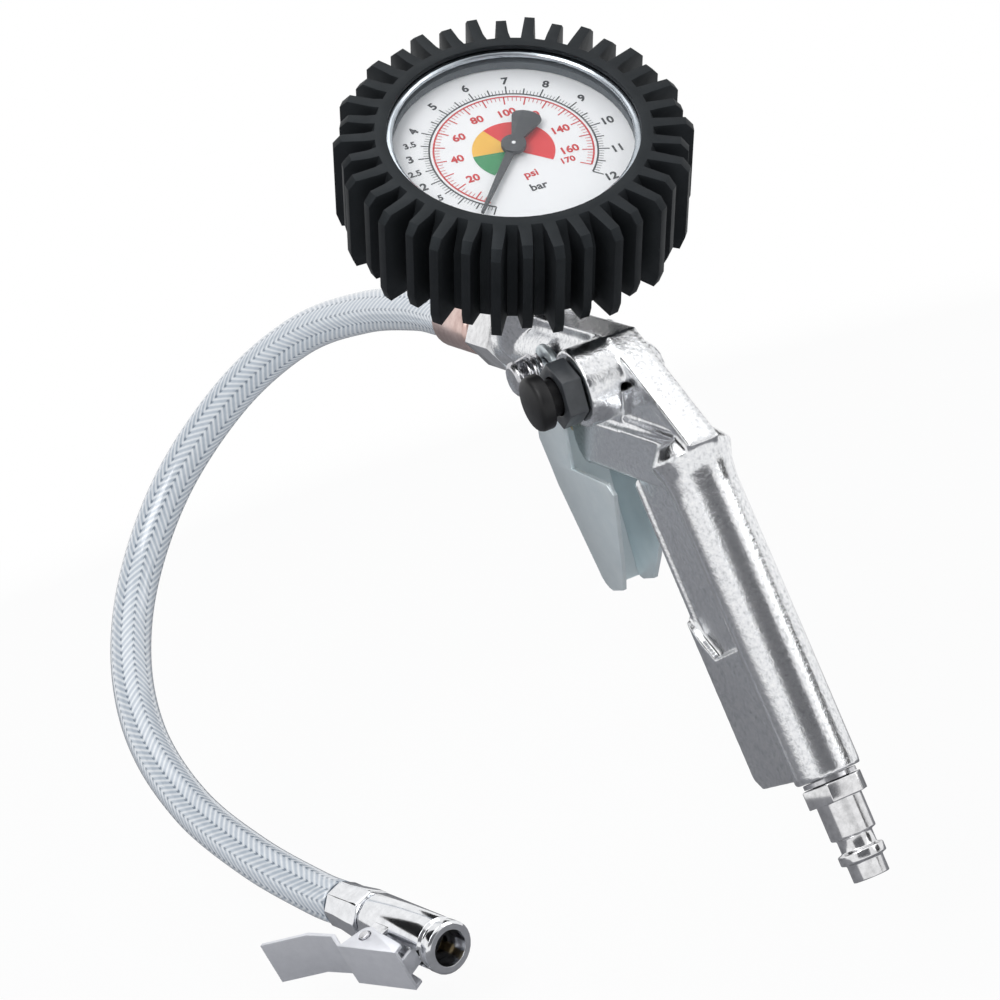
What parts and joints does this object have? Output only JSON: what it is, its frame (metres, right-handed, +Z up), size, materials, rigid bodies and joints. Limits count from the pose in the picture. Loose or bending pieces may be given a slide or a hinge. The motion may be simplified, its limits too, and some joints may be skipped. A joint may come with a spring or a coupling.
{
  "type": "portable tire inflator",
  "caption": "Hand-held tyre inflator: a cast pistol body with trigger, rubber-booted dial gauge, bleed button, short clear hose and clip-on chuck.",
  "frame": {"origin": "the middle of the hand grip, on the axis of the handle's tube", "axes": "+X along the barrel towards the hose, +Y to the left, where the bleed button is, +Z up"},
  "size_m": [0.3039, 0.1548, 0.2272],
  "materials": {
    "casting": "polished die casting",
    "nickel": "nickel plated",
    "copper": "plain copper alloy",
    "dark_nut": "satin dark grey",
    "rubber": "matt",
    "boot_rubber": "matt moulded",
    "spring_steel": "bright wire",
    "brass": "machined",
    "case_steel": "black lacquer",
    "bezel_chrome": "bright",
    "lens": "clear",
    "dial": "printed white",
    "pointer_black": "matt",
    "hose": "clear with white braid",
    "chuck_metal": "bright zinc",
    "zinc": "blue zinc plated",
    "black_plastic": "satin moulded"
  },
  "bodies": {
    "pistol": {"body_casting": "casting", "inlet_nipple": "nickel", "inlet_washer": "copper", "bleed_nut": "dark_nut", "bleed_seal": "rubber", "bleed_spring": "spring_steel", "pivot_screw_left": "spring_steel", "pivot_screw_right": "spring_steel", "trigger_spring": "spring_steel", "valve_gland": "brass", "valve_seat": "rubber", "stem_seal": "rubber", "valve_spring": "spring_steel", "gauge_boot": "boot_rubber", "gauge_case": "case_steel", "gauge_bezel": "bezel_chrome", "gauge_lens": "lens", "lens_gasket": "rubber", "dial_plate": "dial", "movement_frame": "brass", "bourdon_tube": "brass", "tip_link": "brass", "gauge_socket": "nickel", "gauge_seal": "rubber", "hose_fitting": "nickel", "hose_ferrule": "copper", "hose": "hose", "chuck_ferrule": "chuck_metal", "chuck_body": "chuck_metal", "chuck_seal": "rubber", "chuck_core_pin": "brass", "chuck_lever_pin": "spring_steel", "chuck_spring": "spring_steel"},
    "trigger": {"trigger": "zinc"},
    "valve_stem": {"valve_stem": "brass"},
    "bleed_plunger": {"bleed_button": "black_plastic", "bleed_stem": "brass"},
    "pointer": {"pointer": "pointer_black", "pointer_shaft": "brass"},
    "sector": {"sector_gear": "brass"},
    "chuck_lever": {"chuck_lever": "chuck_metal"}
  },
  "joints": [
    {"name": "trigger_squeeze", "type": "hinge", "parent": "pistol", "child": "trigger", "pos_m": [0.067, 0, 0.055], "axis": [0, 1, 0], "range_deg": [0, 15], "stiffness_Nm_per_rad": 0.6, "springref_deg": -8.59},
    {"name": "valve_push", "type": "slide", "parent": "pistol", "child": "valve_stem", "axis": [-1, 0, 0], "range_m": [0, 0.0066], "deforming": ["valve_spring"]},
    {"name": "bleed_press", "type": "slide", "parent": "pistol", "child": "bleed_plunger", "axis": [0, -1, 0], "range_m": [0, 0.0022], "stiffness_N_per_m": 900, "springref_m": -0.001, "deforming": ["bleed_spring"]},
    {"name": "pointer_turn", "type": "hinge", "parent": "pistol", "child": "pointer", "pos_m": [0.071, 0, 0.1125], "axis": [0.5736, 0, -0.8192], "range_deg": [0, 280]},
    {"name": "sector_turn", "type": "hinge", "parent": "pistol", "child": "sector", "pos_m": [0.08263, 0, 0.12065], "axis": [-0.5736, 0, 0.8192], "range_deg": [0, 47]},
    {"name": "chuck_lever_press", "type": "hinge", "parent": "pistol", "child": "chuck_lever", "pos_m": [0.09564, 0.08749, -0.08233], "axis": [0.1627, -0.2387, -0.9574], "range_deg": [0, 14], "stiffness_Nm_per_rad": 0.4, "springref_deg": -8.59}
  ],
  "couplings": [
    {"joint": "valve_push", "follows": "trigger_squeeze", "m_per_rad": 0.0245},
    {"joint": "sector_turn", "follows": "pointer_turn", "ratio": 0.16667}
  ]
}
